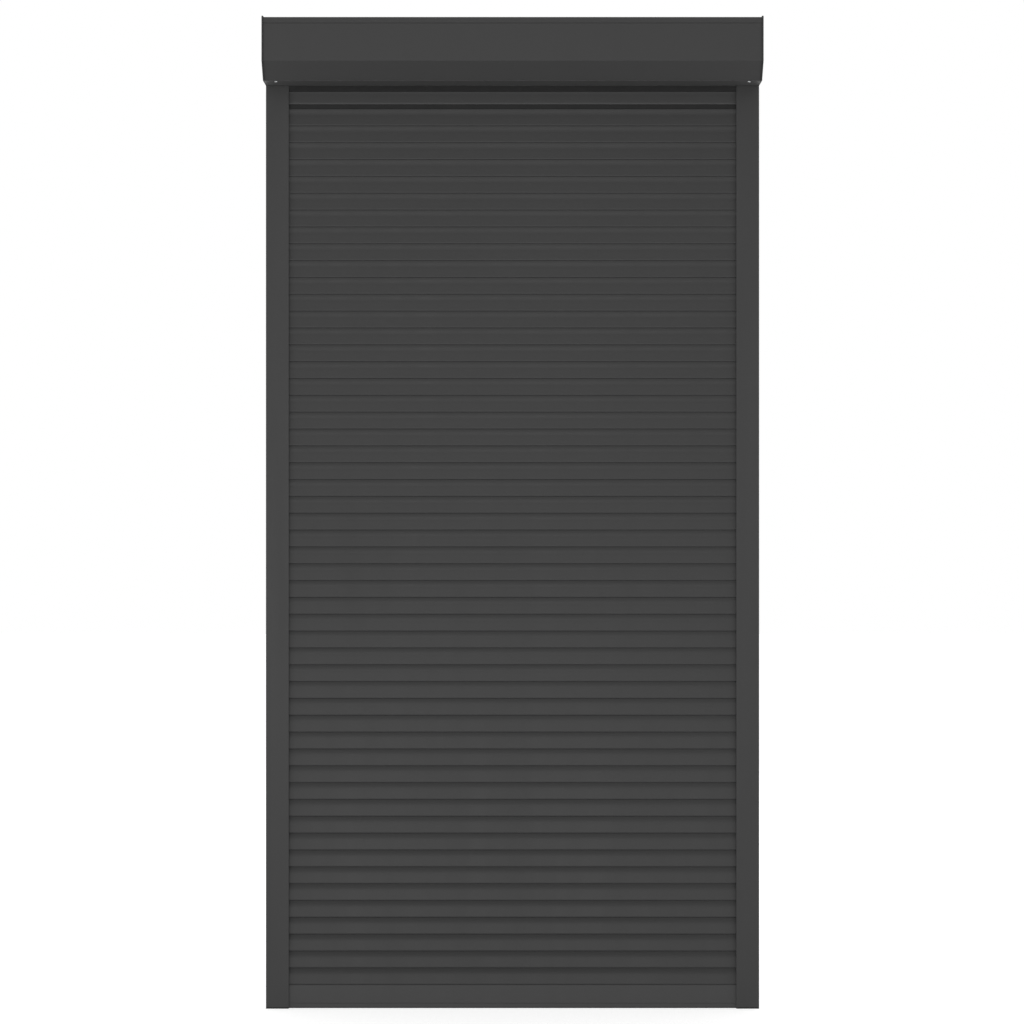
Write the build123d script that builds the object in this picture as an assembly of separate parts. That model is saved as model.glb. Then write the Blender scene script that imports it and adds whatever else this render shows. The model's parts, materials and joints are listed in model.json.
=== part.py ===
from build123d import *
import math
import os

# Front-mounted roller shutter: a 45 degree box, two guide rails and a curtain of hooked slats.
# X runs along the box, Y from the street to the wall, Z up. The origin is on the sill, under the box.

# Overall size
overall_width = 1100.0
overall_height = 2195.0
box_depth = 137.0
box_height = 137.0
box_chamfer = 38.0

# Box shell
sheet = 1.3
cap_proud = 2.5
cap_flange = 3.3
cap_corner_radius = 3.0
rim_wall = 2.0
rim_depth = 12.0
rim_gap = 0.15
top_lip = 13.0
seam_gap = 0.4
joggle_height = 18.0
joggle_gap = 0.2
return_flange = 19.0
slot_back_flange = 5.5
slot_upstand = 11.0
boss_depth = 19.1
boss_width = 12.0
boss_height = 10.0
boss_setback = 0.3

# Guide rails
rail_width = 51.0
rail_depth = 22.0
rail_wall = 1.5
rail_corner_radius = 2.0
groove_depth = 27.0
seat_width = 9.0
seat_wall = 4.5
seat_cavity_width = 6.0
seat_cavity_depth = 1.7
seat_slot_width = 3.0
seal_fit = 0.2
seal_reach = 2.2
seal_tip_width = 1.4
seal_foot_width = 4.6
end_plug_plate = 3.0
end_plug_spigot = 14.0
chamber_fit = 0.3
rail_tongue_length = 60.0
rail_tongue_wall = 2.0
tongue_neck_width = 13.0
tongue_neck_height = 17.0
fixing_hole_radius = 3.25
fixing_access_radius = 5.5
fixing_end_distance = 179.0

# Slats
slat_pitch = 37.6
slat_thickness = 8.0
slat_skin = 0.5
slat_bow = 1.2
slat_dip = 1.8
slat_dip_share = 0.58
slat_nose = 0.9
slat_end_gap = 4.0
joint_gap = 0.2
joint_slack = 10.3
hook_sheet = 1.2
hook_width = 4.0
hook_tip = 3.2
hook_side_gap = 0.3
lip_thickness = 1.0
lip_width = 2.7
lip_tip_height = 1.6
lip_tip_width = 0.9
core_gap = 0.1
core_end_gap = 12.0
lock_head = 3.0
lock_edge = 3.0
lock_tongue = 11.0
slats_per_lock_count = 5

# Bottom bar
bar_height = 52.0
bar_wall = 1.5
bar_seal_height = 2.0
bar_web_height = 14.0
bar_slot_width = 3.0
bar_cavity_width = 5.0
bar_cavity_depth = 2.4
bar_groove = 0.6
bar_groove_height = 9.0
bar_seal_width = 6.4
bar_plug = 3.0
bar_plug_tongue = 12.0

# Outlet seal and the funnels over the rails
carrier_height = 12.0
carrier_depth = 4.0
outlet_seal_height = 13.0
outlet_seal_blade = 2.6
outlet_seal_gap = 0.3
outlet_side_gap = 0.5
funnel_wall = 2.5
funnel_height = 30.0
funnel_straight = 14.0
funnel_flare = 8.0
funnel_bend_share = 0.25
funnel_front_gap = 2.5
funnel_back_gap = 1.8
funnel_web = 10.0
funnel_web_gap = 1.5
funnel_spigot = 15.0

# Winding shaft, its bearing and the hangers
shaft_across = 40.0
shaft_sides = 8
shaft_wall = 1.0
shaft_end_gap = 22.7
shaft_fit = 0.1
running_fit = 0.05
pin_radius = 6.0
pin_length = 60.0
idler_plug_length = 60.0
idler_flange_radius = 24.0
idler_flange = 3.0
bearing_radius = 14.0
bearing_width = 8.0
bearing_floor_gap = 0.8
bearing_boss_radius = 20.0
bearing_boss_length = 12.0
bearing_pocket_depth = 11.0
cap_rib = 2.0
cap_rib_height = 6.0
cap_rib_count = 6
hanger_count = 3
hanger_spacing = 330.0
hanger_clip_width = 40.0
hanger_clip_height = 18.0
strap_width = 24.0
strap_thickness = 0.8
strap_flat_share = 0.25
strap_gap = 0.2
strap_tab = 2.6
shaft_slot_length = 26.0
shaft_slot_width = 3.0

# Tube motor
motor_radius = 17.5
motor_length = 480.0
motor_bore_depth = 15.0
motor_head_radius = 22.0
motor_stub = 20.0
bracket_size = 62.0
bracket_corner = 10.0
bracket_plate = 3.0
bracket_hole_spacing = 46.0
crown_ring_length = 15.0
drive_wheel_length = 20.0
drive_wheel_gap = 3.0
output_shaft_radius = 6.0
grommet_radius = 8.0
grommet_flange = 2.5
grommet_flange_width = 2.5
cable_bore_radius = 3.5
grommet_inset = 20.0

# Sides of round bars inside the box, and of the screws, which repeat
bar_sides = 24
screw_sides = 12
screw_radius = 1.9
screw_head_radius = 3.8
screw_head_height = 2.0
cover_screw_length = 12.0
shell_screw_length = 8.0
bracket_screw_length = 6.0
shaft_screw_length = 8.0

# One overrun serves every cut
overrun = 1.0

# A 45 degree fold is this much longer than its rise
diagonal = math.sqrt(2)

# Places that follow from the sizes above
half_width = overall_width / 2
wall_y = box_depth / 2
front_y = -box_depth / 2
box_bottom = overall_height - box_height
axis_z = overall_height - box_height / 2
shell_end = half_width - cap_flange
rim_end = shell_end - rim_depth
rail_inner = half_width - rail_width
rail_front = wall_y - rail_depth
curtain_y = wall_y - rail_depth / 2
groove_floor = rail_inner + groove_depth
chamber_start = groove_floor + rail_wall
curtain_end = groove_floor - slat_end_gap
slat_end = curtain_end - lock_head
slat_half = slat_thickness / 2
slat_top = slat_pitch - joint_gap
pocket_half = hook_width / 2 + hook_side_gap
hook_height = lip_thickness + joint_slack + joint_gap + hook_tip
pocket_ceiling = hook_height + joint_gap / 2
slat_count = math.floor((box_bottom - bar_height - joint_slack) / slat_pitch)
closed_count = slat_count - 1
top_slat_z = bar_height + closed_count * slat_pitch + joint_slack
hanger_z = top_slat_z + slat_pitch + joint_slack
slot_front = rail_front
slot_back = wall_y - slot_back_flange
shaft_left = -(half_width - shaft_end_gap + idler_flange)
shaft_right = half_width - shaft_end_gap - idler_flange
shaft_half = shaft_across / 2


def along_x(section, start, end):
    """Extrude a section drawn as (y, z) between two places on X."""
    return Pos(start, 0, 0) * extrude(Plane.YZ * section, end - start)


def polygon(*points):
    return make_face(Polyline(*points, close=True))


def plate(low, high):
    """A rectangle between two opposite corners."""
    middle = ((low[0] + high[0]) / 2, (low[1] + high[1]) / 2)
    return Pos(*middle) * Rectangle(high[0] - low[0], high[1] - low[1])


def block(low, high):
    """A box between two opposite corners."""
    size = [b - a for a, b in zip(low, high)]
    return Pos(*low) * Box(*size, align=(Align.MIN, Align.MIN, Align.MIN))


def rod(radius, start, end, y=0, z=axis_z):
    """A bar along X with many sides, whose corners lie on the radius."""
    return Pos(start, y, z) * extrude(Plane.YZ * RegularPolygon(radius, bar_sides), end - start)


def rod_hole(radius, start, end, y=0, z=axis_z):
    """A cut along X with many sides, whose flats lie on the radius, so that a rod turns in it."""
    outline = RegularPolygon(radius, bar_sides, major_radius=False)
    return Pos(start, y, z) * extrude(Plane.YZ * outline, end - start)


def bore(radius, start, end, y, z):
    """A truly round cut along X, for what someone else's screw or cable goes through."""
    hole = Cylinder(radius, end - start, align=(Align.CENTER, Align.CENTER, Align.MIN))
    return Pos(start, y, z) * Rot(0, 90, 0) * hole


def octagon_bar(across, start, end):
    """An eight-sided bar along X, round the shaft axis, with a flat on top."""
    outline = RegularPolygon(across / 2, shaft_sides, major_radius=False, rotation=180 / shaft_sides)
    return Pos(start, 0, axis_z) * extrude(Plane.YZ * outline, end - start)


def small_round(radius, length):
    """A many-sided bar that stands on the origin, for small holes and screws."""
    return extrude(RegularPolygon(radius, screw_sides), length)


def screw(length):
    """A pan head screw that points along -Z, with the underside of its head at the origin."""
    shank = Pos(0, 0, -length) * small_round(screw_radius, length)
    return small_round(screw_head_radius, screw_head_height) + shank


def screw_hole(length):
    """A cut for a screw, from above its head down past its tip."""
    return Pos(0, 0, -length - overrun) * small_round(screw_radius, length + overrun * 2)


def mirrored(part):
    return mirror(part, about=Plane.YZ)


# Box


def box_section(front_inset, back_inset, bottom_inset):
    """The box seen from its end, drawn in by the insets. The chamfer follows the front."""
    front = front_y + front_inset
    top = overall_height - front_inset
    back = wall_y - back_inset
    bottom = box_bottom + bottom_inset
    chamfer_sum = front_y + box_chamfer + box_bottom + front_inset * diagonal
    foot = (chamfer_sum - bottom, bottom)
    return polygon((front, top), (back, top), (back, bottom), foot, (front, chamfer_sum - front))


shell_outside = box_section(cap_proud, 0, 0)
shell_inside = box_section(cap_proud + sheet, sheet, sheet)
shell_ring = shell_outside - shell_inside
shell_front = front_y + cap_proud
shell_top = overall_height - cap_proud
chamfer_foot = front_y + box_chamfer + cap_proud * diagonal
lip_z = shell_top - top_lip


def rear_top_shell():
    """Back, top and front lip in one roll-formed sheet, with the slot's rear edge turned in."""
    front_part = plate((front_y, box_bottom), (wall_y - sheet, lip_z))
    section = shell_ring - front_part
    section += plate((slot_back, box_bottom), (wall_y, box_bottom + sheet))
    shell = along_x(section, -shell_end, shell_end)
    return cut(shell, shell_screw_holes())


def shell_screw_places():
    x = shell_end - rim_depth / 2
    return [(-x, 0), (x, 0)]


def shell_screw_holes():
    return [Pos(x, y, shell_top) * screw_hole(shell_screw_length) for x, y in shell_screw_places()]


def shell_screws():
    return [Pos(x, y, shell_top) * screw(shell_screw_length) for x, y in shell_screw_places()]


def front_panel():
    """Front and chamfer in one sheet. It tucks behind the lip above and under the cover below."""
    kept = plate((front_y, box_bottom), (chamfer_foot - seam_gap, lip_z - seam_gap))
    section = shell_ring & kept
    flange_low = box_bottom + sheet
    flange_start = chamfer_foot + box_bottom - flange_low
    section += plate((flange_start, flange_low), (chamfer_foot + return_flange, flange_low + sheet))
    panel = along_x(section, -shell_end, shell_end)
    inside = shell_front + sheet
    joggle_foot = plate((inside, lip_z - joggle_height / 2), (inside + joggle_gap + sheet, lip_z - seam_gap))
    joggle_tongue = plate(
        (inside + joggle_gap, lip_z - joggle_height / 2),
        (inside + joggle_gap + sheet, lip_z + joggle_height / 2),
    )
    panel += along_x(joggle_foot + joggle_tongue, -rim_end + overrun, rim_end - overrun)
    return cut(panel, cover_screw_holes())


def underside_cover():
    """The flap under the box, from the chamfer's foot to the slot, with its inner edge turned up."""
    floor_sheet = plate((chamfer_foot + seam_gap, box_bottom), (slot_front, box_bottom + sheet))
    upstand = plate((slot_front - sheet, box_bottom), (slot_front, box_bottom + slot_upstand))
    cover = along_x(floor_sheet, -shell_end, shell_end)
    cover += along_x(upstand, -rim_end + overrun, rim_end - overrun)
    return cut(cover, cover_screw_holes())


def cover_screw_places():
    """Upside down on the underside, one near each cap."""
    y = chamfer_foot + boss_setback + boss_width / 2
    x = shell_end - boss_depth - rim_depth + boss_width / 2
    return [Pos(side * x, y, box_bottom) * Rot(180, 0, 0) for side in (-1, 1)]


def cover_screw_holes():
    return [place * screw_hole(cover_screw_length) for place in cover_screw_places()]


def cover_screws():
    return [place * screw(cover_screw_length) for place in cover_screw_places()]


def cut(piece, tools):
    for tool in tools:
        piece -= tool
    return piece


def end_cap():
    """The plain right-hand cap: flange, rim inside the shell, screw bosses and the plug for the rail."""
    flange = along_x(box_section(0, 0, 0), shell_end, half_width)
    corners = flange.edges().filter_by(Axis.X).sort_by(Axis.Z)
    flange = fillet([corners[-1], corners[-2], corners[1], corners[2]], cap_corner_radius)
    inset = cap_proud + sheet + rim_gap
    rim_outside = box_section(inset, sheet + rim_gap, sheet * 2 + rim_gap)
    rim_inside = box_section(inset + rim_wall, sheet + rim_gap + rim_wall, sheet * 2 + rim_gap + rim_wall)
    cap = flange + along_x(rim_outside - rim_inside, rim_end, shell_end)
    cap += cover_screw_boss() + rail_tongue() + shell_screw_boss()
    return cut(cap, cover_screw_holes()[1:] + shell_screw_holes()[1:])


def cover_screw_boss():
    low = box_bottom + sheet * 2
    start = chamfer_foot + boss_setback
    return block(
        (shell_end - boss_depth - rim_depth, start, low), (shell_end, start + boss_width, low + boss_height)
    )


def shell_screw_boss():
    high = shell_top - sheet - rim_gap
    half = boss_width / 2
    return block((rim_end, -half, high - boss_height), (shell_end, half, high))


def rail_tongue():
    """The hollow plug that goes down into the rail's chamber, and the neck that carries it."""
    low = (chamber_start + chamber_fit, rail_front + rail_wall + chamber_fit, box_bottom - rail_tongue_length)
    high = (half_width - rail_wall - chamber_fit, wall_y - rail_wall - chamber_fit, box_bottom)
    tongue = block(low, high)
    hollow_low = [value + rail_tongue_wall for value in low[:2]] + [low[2] - overrun]
    hollow_high = [value - rail_tongue_wall for value in high[:2]] + [box_bottom - rail_tongue_wall]
    tongue -= block(hollow_low, hollow_high)
    neck_start = slot_front + (slot_back - slot_front - tongue_neck_width) / 2
    neck = block(
        (rim_end, neck_start, box_bottom - rail_tongue_wall),
        (shell_end, neck_start + tongue_neck_width, box_bottom + tongue_neck_height),
    )
    return tongue + neck


def cap_ribs(inner_radius):
    """Stiffening ribs that run out from the boss to the rim."""
    reach = min(box_depth, box_height) / 2 - cap_proud - sheet - rim_wall
    ribs = Part()
    for index in range(cap_rib_count):
        rib = block(
            (shell_end - cap_rib_height, inner_radius - cap_rib, -cap_rib / 2),
            (shell_end, reach, cap_rib / 2),
        )
        ribs += Pos(0, 0, axis_z) * Rot(index * 360 / cap_rib_count, 0, 0) * rib
    return ribs


def end_cap_left():
    """The cap on the idler side, with a boss that holds the bearing."""
    boss = rod(bearing_boss_radius, shell_end - bearing_boss_length, shell_end)
    cap = end_cap() + boss + cap_ribs(bearing_boss_radius)
    pocket_start = shell_end - bearing_boss_length
    cap -= rod(bearing_radius, pocket_start - overrun, pocket_start + bearing_pocket_depth)
    return mirrored(cap)


def grommet_place():
    return wall_y - grommet_inset, overall_height - grommet_inset


def end_cap_right():
    """The cap on the motor side, with the bracket's screw holes and the cable hole."""
    cap = end_cap()
    y, z = grommet_place()
    cap -= rod(grommet_radius, shell_end - overrun, half_width + overrun, y, z)
    return cut(cap, [place * screw_hole(bracket_screw_length) for place in bracket_screw_places()])


def cable_grommet():
    y, z = grommet_place()
    ring = rod(grommet_radius, shell_end, half_width, y, z)
    ring += rod(grommet_radius + grommet_flange_width, shell_end - grommet_flange, shell_end, y, z)
    return ring - bore(cable_bore_radius, shell_end - grommet_flange - overrun, half_width + overrun, y, z)


# Outlet seal and funnels

carrier_front = slot_front
carrier_back = slot_front + carrier_depth
seal_middle = slot_front + carrier_depth / 2


def outlet_seal_carrier():
    """A C-rail along the slot's front edge, which holds the head of the seal."""
    end = rail_inner - outlet_side_gap
    section = plate((carrier_front, box_bottom), (carrier_back, box_bottom + carrier_height))
    section -= plate(
        (seal_middle - seat_slot_width / 2 + seal_fit, box_bottom - overrun),
        (seal_middle + seat_slot_width / 2 - seal_fit, box_bottom + carrier_height / 2),
    )
    section -= plate(
        (seal_middle - seat_slot_width / 2, box_bottom + seat_cavity_depth),
        (seal_middle + seat_slot_width / 2, box_bottom + carrier_height / 2),
    )
    return along_x(section, -end, end)


def outlet_seal():
    """The black lip that hangs from the carrier and wipes the curtain."""
    end = rail_inner - outlet_side_gap
    neck = seat_slot_width / 2 - seal_fit * 2
    head = seat_slot_width / 2 - seal_fit
    blade_front = seal_middle - outlet_seal_blade / 2
    blade_back = seal_middle + outlet_seal_blade / 2
    curtain_front = curtain_y - slat_half - outlet_seal_gap
    low = box_bottom - outlet_seal_height
    section = polygon(
        (blade_front, box_bottom),
        (blade_front, low + outlet_seal_blade),
        (curtain_front - outlet_seal_blade, low),
        (curtain_front, low),
        (curtain_front, low + outlet_seal_blade / 2),
        (blade_back, low + outlet_seal_blade * 2),
        (blade_back, box_bottom),
        (seal_middle + neck, box_bottom),
        (seal_middle + neck, box_bottom + seat_cavity_depth + seal_fit),
        (seal_middle + head, box_bottom + seat_cavity_depth + seal_fit),
        (seal_middle + head, box_bottom + carrier_height / 2 - seal_fit),
        (seal_middle - head, box_bottom + carrier_height / 2 - seal_fit),
        (seal_middle - head, box_bottom + seat_cavity_depth + seal_fit),
        (seal_middle - neck, box_bottom + seat_cavity_depth + seal_fit),
        (seal_middle - neck, box_bottom),
    )
    return along_x(section, -end, end)


def inlet_funnel():
    """The right-hand funnel that leads the curtain into the rail."""
    web_start = curtain_end + funnel_web_gap
    web_end = web_start + funnel_web
    inside = curtain_y - slat_half - funnel_front_gap
    top = box_bottom + funnel_height
    knee = box_bottom + funnel_straight
    bend = (inside - funnel_flare * funnel_bend_share, (knee + top) / 2)
    guide = Polyline((inside, knee), (inside, box_bottom), (inside - funnel_wall, box_bottom))
    guide += Line((inside - funnel_wall, box_bottom), (inside - funnel_wall, knee))
    guide += ThreePointArc(
        (inside - funnel_wall, knee),
        (bend[0] - funnel_wall, bend[1]),
        (inside - funnel_flare - funnel_wall, top),
    )
    guide += Line((inside - funnel_flare - funnel_wall, top), (inside - funnel_flare, top))
    guide += ThreePointArc((inside - funnel_flare, top), bend, (inside, knee))
    front_guide = make_face(guide)
    back = curtain_y + slat_half + funnel_back_gap
    back_guide = plate((back, box_bottom + sheet), (back + funnel_wall, top))
    funnel = along_x(front_guide + back_guide, rail_inner + outlet_side_gap, web_end)
    funnel += block((web_start, inside - funnel_wall, box_bottom), (web_end, slot_back, top))
    funnel += block((web_start, inside, box_bottom + sheet), (web_end, back + funnel_wall, top))
    spigot_back = wall_y - rail_wall - chamber_fit
    funnel += block(
        (web_start, rail_front + rail_wall + chamber_fit, box_bottom - funnel_spigot),
        (groove_floor - chamber_fit, spigot_back, box_bottom),
    )
    return funnel


# Guide rails


def rail_section():
    """The extrusion seen from above: an outer chamber, and a groove whose mouth holds two seals."""
    outline = plate((rail_inner, rail_front), (half_width, wall_y))
    corner = outline.vertices().group_by(Axis.X)[-1].sort_by(Axis.Y)[0]
    outline = fillet(corner, rail_corner_radius)
    inner_front = rail_front + rail_wall
    inner_back = wall_y - rail_wall
    outline -= plate((chamber_start, inner_front), (half_width - rail_wall, inner_back))
    outline -= plate((rail_inner + seat_width, inner_front), (groove_floor, inner_back))
    outline -= plate((rail_inner - overrun, rail_front + seat_wall), (groove_floor, wall_y - seat_wall))
    middle = rail_inner + seat_width / 2
    for front, side in ((rail_front, 1), (wall_y, -1)):
        cavity = sorted((front + side * rail_wall, front + side * (rail_wall + seat_cavity_depth)))
        slot = sorted((front + side * rail_wall, front + side * (seat_wall + overrun)))
        outline -= plate(
            (middle - seat_cavity_width / 2, cavity[0]), (middle + seat_cavity_width / 2, cavity[1])
        )
        outline -= plate((middle - seat_slot_width / 2, slot[0]), (middle + seat_slot_width / 2, slot[1]))
    return outline


def fixing_heights():
    """Near both ends of the rail, and halfway."""
    return [fixing_end_distance, box_bottom / 2, box_bottom - fixing_end_distance]


def guide_rail():
    rail = Pos(0, 0, end_plug_plate) * extrude(rail_section(), box_bottom - end_plug_plate)
    for z in fixing_heights():
        rail -= bore(fixing_hole_radius, chamber_start, half_width + overrun, curtain_y, z)
        access = small_round(fixing_access_radius, rail_wall + overrun * 2)
        rail -= Pos(groove_floor - overrun, curtain_y, z) * Rot(0, 90, 0) * access
    return rail


def rail_seal_front():
    """The gliding seal in the rail's front seat."""
    middle = rail_inner + seat_width / 2
    head = seat_cavity_width / 2 - seal_fit
    neck = seat_slot_width / 2 - seal_fit
    base = rail_front + rail_wall + seal_fit
    shoulder = rail_front + rail_wall + seat_cavity_depth - seal_fit
    face = rail_front + seat_wall
    section = polygon(
        (middle - head, base),
        (middle + head, base),
        (middle + head, shoulder),
        (middle + neck, shoulder),
        (middle + neck, face),
        (middle + seal_foot_width / 2, face),
        (middle + seal_tip_width / 2, face + seal_reach),
        (middle - seal_tip_width / 2, face + seal_reach),
        (middle - seal_foot_width / 2, face),
        (middle - neck, face),
        (middle - neck, shoulder),
        (middle - head, shoulder),
    )
    return Pos(0, 0, end_plug_plate) * extrude(section, box_bottom - end_plug_plate)


def rail_seal_back():
    return mirror(rail_seal_front(), about=Plane.XZ.offset(-curtain_y))


def rail_end_plug():
    """The black plug under the rail, open where the curtain comes down."""
    foot = plate((rail_inner, rail_front), (half_width, wall_y))
    corner = foot.vertices().group_by(Axis.X)[-1].sort_by(Axis.Y)[0]
    foot = fillet(corner, rail_corner_radius)
    foot -= plate(
        (rail_inner - overrun, rail_front + seat_wall),
        (groove_floor - (slat_end_gap - lock_head) / 2, wall_y - seat_wall),
    )
    spigot_low = (chamber_start + chamber_fit, rail_front + rail_wall + chamber_fit, end_plug_plate)
    spigot_high = (
        half_width - rail_wall - chamber_fit,
        wall_y - rail_wall - chamber_fit,
        end_plug_plate + end_plug_spigot,
    )
    hollow_low = [value + rail_tongue_wall for value in spigot_low[:2]] + [end_plug_plate]
    hollow_high = [value - rail_tongue_wall for value in spigot_high[:2]] + [spigot_high[2] + overrun]
    spigot = block(spigot_low, spigot_high) - block(hollow_low, hollow_high)
    return extrude(foot, end_plug_plate) + spigot


# Curtain


def bow_at(z, low, high):
    """How far a face has bowed at height z, between two ends where it has not."""
    half = (high - low) / 2
    radius = (half**2 + slat_bow**2) / (2 * slat_bow)
    return slat_bow - radius + math.sqrt(radius**2 - (z - low - half) ** 2)


def hook_points(top):
    """The hook on top of a slat: up the back, over, down the tip and back to the neck."""
    back = hook_width / 2
    neck = back - hook_sheet
    high = top + hook_height
    return [
        (back, top),
        (back, high),
        (-back, high),
        (-back, high - hook_tip),
        (-neck, high - hook_tip),
        (-neck, high - hook_sheet),
        (neck, high - hook_sheet),
        (neck, top),
    ]


def pocket_points(front, back, ceiling):
    """The underside of a slat, from its front nose to its back wall, with the lip that holds the hook."""
    lip_end = lip_width - pocket_half
    lip_tip = lip_end - lip_tip_width
    lip_top = lip_thickness + lip_tip_height
    return [
        (front, slat_nose),
        (front + slat_nose, 0),
        (lip_end, 0),
        (lip_end, lip_top),
        (lip_tip, lip_top),
        (lip_tip, lip_thickness),
        (-pocket_half, lip_thickness),
        (-pocket_half, ceiling),
        (pocket_half, ceiling),
        (pocket_half, 0),
        (back, 0),
    ]


slat_front = -slat_half
slat_back = slat_half - slat_bow
dip_z = slat_nose + (slat_top - slat_nose) * slat_dip_share
dip_slope = math.atan2(slat_dip, dip_z - slat_nose)
dip_chord = math.hypot(slat_dip, slat_top - dip_z)
dip_radius = dip_chord / (2 * math.sin(dip_slope + math.atan2(slat_dip, slat_top - dip_z)))
deepest_z = dip_z + dip_radius * math.sin(dip_slope)
deepest = slat_dip + dip_radius * (1 - math.cos(dip_slope))


def core_section(margin):
    """The slat's hollow, drawn in from its skin by a margin, with corners that follow both faces."""
    low = pocket_ceiling + margin
    high = slat_top - margin
    front_low = slat_front + (low - slat_nose) * math.tan(dip_slope) + margin
    front_high = slat_front + slat_nose + margin
    back_low = slat_back + bow_at(low, 0, slat_top) - margin
    back_high = slat_back + bow_at(high, 0, slat_top) - margin
    middle = (slat_front + deepest + margin, deepest_z)
    return polygon((front_low, low), (back_low, low), (back_high, high), (front_high, high), middle)


def slat_section():
    """The whole slat: a front that dips below its shoulder, a bowed back, a pocket and a hook."""
    under = pocket_points(slat_front, slat_back, pocket_ceiling)
    over = [(slat_back, slat_top)] + hook_points(slat_top)
    over += [(slat_front, slat_top)]
    edges = Polyline(*under) + ThreePointArc(under[-1], (slat_half, slat_top / 2), over[0])
    edges += Polyline(*over)
    edges += ThreePointArc(over[-1], (slat_front + deepest, deepest_z), (slat_front + slat_dip, dip_z))
    edges += Line((slat_front + slat_dip, dip_z), under[0])
    return make_face(edges) - core_section(slat_skin)


def slat_heights():
    """Where each slat's underside lies. All joints are closed but the last, which is pulled open."""
    return [bar_height + index * slat_pitch for index in range(closed_count)] + [top_slat_z]


def at_heights(piece, heights):
    return [Pos(0, curtain_y, z) * piece for z in heights]


def slats():
    return at_heights(along_x(slat_section(), -slat_end, slat_end), slat_heights())


def slat_foam_cores():
    end = slat_end - core_end_gap
    return at_heights(along_x(core_section(slat_skin + core_gap), -end, end), slat_heights())


def slat_end_locks():
    """Plugs in the ends of every fifth slat, which keep the curtain from drifting sideways."""
    low = pocket_ceiling + slat_skin + core_gap
    high = slat_top - slat_skin - core_gap
    front = slat_front + deepest + slat_skin + core_gap
    back = slat_back - slat_skin - core_gap
    tongue = block((slat_end - lock_tongue, front, low), (slat_end, back, high))
    head = block(
        (slat_end, slat_front + slat_bow / 2, lock_edge),
        (curtain_end, slat_half - slat_bow / 2, slat_top - lock_edge),
    )
    lock = tongue + head
    heights = slat_heights()[::slats_per_lock_count]
    return at_heights(lock, heights) + at_heights(mirrored(lock), heights)


def bottom_bar():
    """A hollow extrusion with the slats' hook on top and a seat for the seal below."""
    top = bar_height - joint_gap
    low = bar_seal_height
    outline = polygon(
        (-slat_half, low + slat_nose),
        (-slat_half + slat_nose, low),
        (-bar_slot_width / 2, low),
        (-bar_slot_width / 2, low + bar_wall),
        (-bar_cavity_width / 2, low + bar_wall),
        (-bar_cavity_width / 2, low + bar_wall + bar_cavity_depth),
        (bar_cavity_width / 2, low + bar_wall + bar_cavity_depth),
        (bar_cavity_width / 2, low + bar_wall),
        (bar_slot_width / 2, low + bar_wall),
        (bar_slot_width / 2, low),
        (slat_half - slat_nose, low),
        (slat_half, low + slat_nose),
        (slat_half, top - slat_nose),
        (slat_half - slat_nose, top),
        *hook_points(top),
        (-slat_half + slat_nose, top),
        (-slat_half, top - slat_nose),
        (-slat_half, low + bar_groove_height + bar_groove),
        (-slat_half + bar_groove, low + bar_groove_height),
        (-slat_half, low + bar_groove_height - bar_groove),
    )
    lower = low + bar_web_height
    side = slat_half - bar_wall
    section = outline - plate((-side, low + bar_wall * 2 + bar_cavity_depth), (side, lower))
    section -= plate((-side, lower + bar_wall), (side, top - bar_wall))
    return Pos(0, curtain_y, 0) * along_x(section, -slat_end, slat_end)


def bottom_bar_seal():
    """The rubber strip that meets the sill."""
    low = bar_seal_height
    neck = bar_slot_width / 2 - seal_fit
    head = bar_cavity_width / 2 - seal_fit
    shoulder = low + bar_wall + seal_fit
    high = low + bar_wall + bar_cavity_depth - seal_fit
    foot = bar_seal_width / 2
    section = polygon(
        (-foot + slat_nose, 0),
        (foot - slat_nose, 0),
        (foot, low),
        (neck, low),
        (neck, shoulder),
        (head, shoulder),
        (head, high),
        (-head, high),
        (-head, shoulder),
        (-neck, shoulder),
        (-neck, low),
        (-foot, low),
    )
    return Pos(0, curtain_y, 0) * along_x(section, -slat_end, slat_end)


def bottom_bar_end_plugs():
    low = bar_seal_height + bar_web_height + bar_wall + seal_fit
    high = bar_height - joint_gap - bar_wall - seal_fit
    half = slat_half - bar_wall - seal_fit
    tongue = block((slat_end - bar_plug_tongue, -half, low), (slat_end, half, high))
    edge = slat_half - seal_fit
    head = block((slat_end, -edge, bar_seal_height), (slat_end + bar_plug, edge, bar_height - joint_gap))
    plug = Pos(0, curtain_y, 0) * (tongue + head)
    return [plug, mirrored(plug)]


# Winding shaft and hangers


def hanger_places():
    return [(index - (hanger_count - 1) / 2) * hanger_spacing for index in range(hanger_count)]


def hanger_clips():
    """Clips with the slats' own pocket, hooked on the top slat."""
    under = pocket_points(slat_front, slat_half, pocket_ceiling)
    strap_low = pocket_ceiling + slat_skin
    half = strap_thickness / 2 + strap_gap
    section = polygon(
        *under,
        (slat_half, hanger_clip_height - slat_nose),
        (slat_half - slat_nose, hanger_clip_height),
        (half, hanger_clip_height),
        (half, strap_low),
        (-half, strap_low),
        (-half, hanger_clip_height),
        (slat_front + slat_nose, hanger_clip_height),
        (slat_front, hanger_clip_height - slat_nose),
    )
    half_clip = hanger_clip_width / 2
    clip = Pos(0, curtain_y, hanger_z) * along_x(section, -half_clip, half_clip)
    return [Pos(x, 0, 0) * clip for x in hanger_places()]


def shaft_flat_point(distance, along):
    """A point off the upper rear flat of the shaft, which faces up and to the wall at 45 degrees."""
    return ((distance - along) / diagonal, axis_z + (distance + along) / diagonal)


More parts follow.
